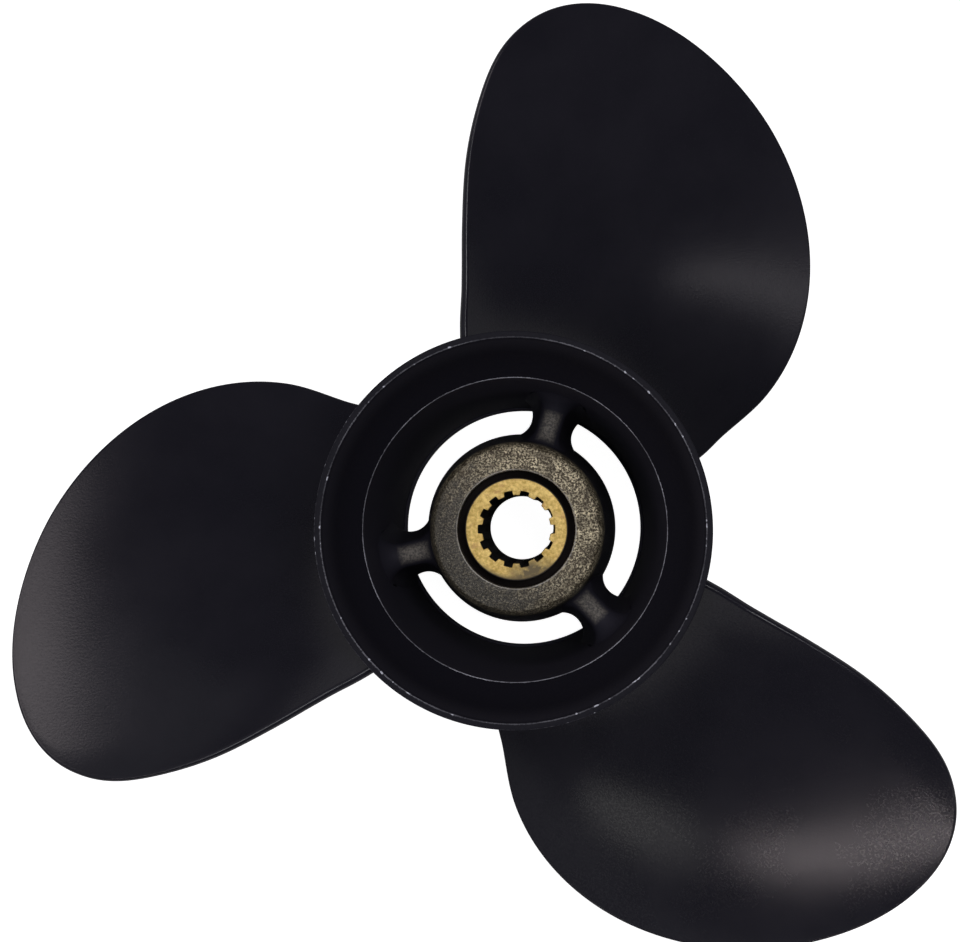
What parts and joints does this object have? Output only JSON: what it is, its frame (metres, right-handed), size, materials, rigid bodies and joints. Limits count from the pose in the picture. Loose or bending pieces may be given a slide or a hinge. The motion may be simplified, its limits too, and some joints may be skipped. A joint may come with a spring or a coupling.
{
  "type": "outboard propeller",
  "caption": "Right-hand outboard boat propeller, cast with a through-hub exhaust passage and a flared aft ring, with a splined brass sleeve in a rubber bush.",
  "frame": {"origin": "on the shaft's axis, in the plane of the hub's front face", "axes": "+Z along the shaft's axis towards the aft end, +Y through the mark from which the blades' angles are measured"},
  "size_m": [0.2333, 0.2364, 0.086],
  "materials": {
    "black_paint": "satin black paint over cast aluminium, fine speckle, worn on the rim",
    "bare_casting": "rough bare casting, dull and oxidised",
    "rubber": "matt",
    "brass": "machined, tarnished and pitted"
  },
  "bodies": {
    "root": {"hub_barrel": "black_paint", "flare_ring": "black_paint", "rib_1": "black_paint", "rib_2": "black_paint", "rib_3": "black_paint", "blade_1": "black_paint", "blade_2": "black_paint", "blade_3": "black_paint", "inner_boss": "bare_casting", "rubber_bush": "rubber", "splined_sleeve": "brass"}
  },
  "joints": []
}
